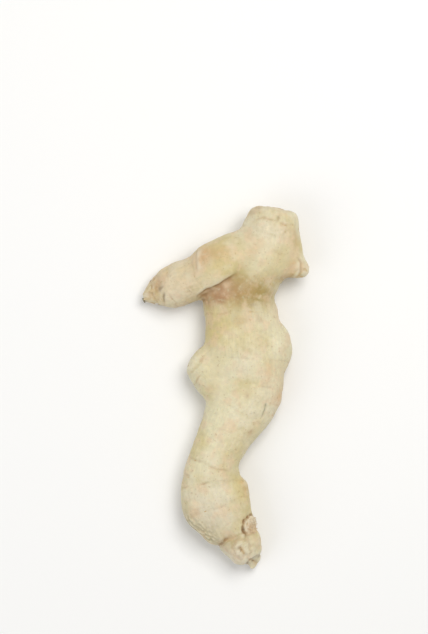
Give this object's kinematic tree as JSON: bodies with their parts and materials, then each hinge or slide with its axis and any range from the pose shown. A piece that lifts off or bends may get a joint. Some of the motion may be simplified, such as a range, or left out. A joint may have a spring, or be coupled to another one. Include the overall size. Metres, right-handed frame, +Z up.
{
  "type": "ginger root",
  "caption": "Branched ginger rhizome: a thick stem with a long side finger, buds, stumps and a tail, flat where it rests.",
  "frame": {"origin": "on the surface that the rhizome rests on, under the middle of its bounding box", "axes": "+Y along the rhizome from its tail to its head, +Z up from the surface, +X away from the long side finger"},
  "size_m": [0.103, 0.2256, 0.0343],
  "materials": {
    "ginger_skin": null
  },
  "bodies": {
    "root": {"ginger_rhizome": "ginger_skin"}
  },
  "joints": []
}
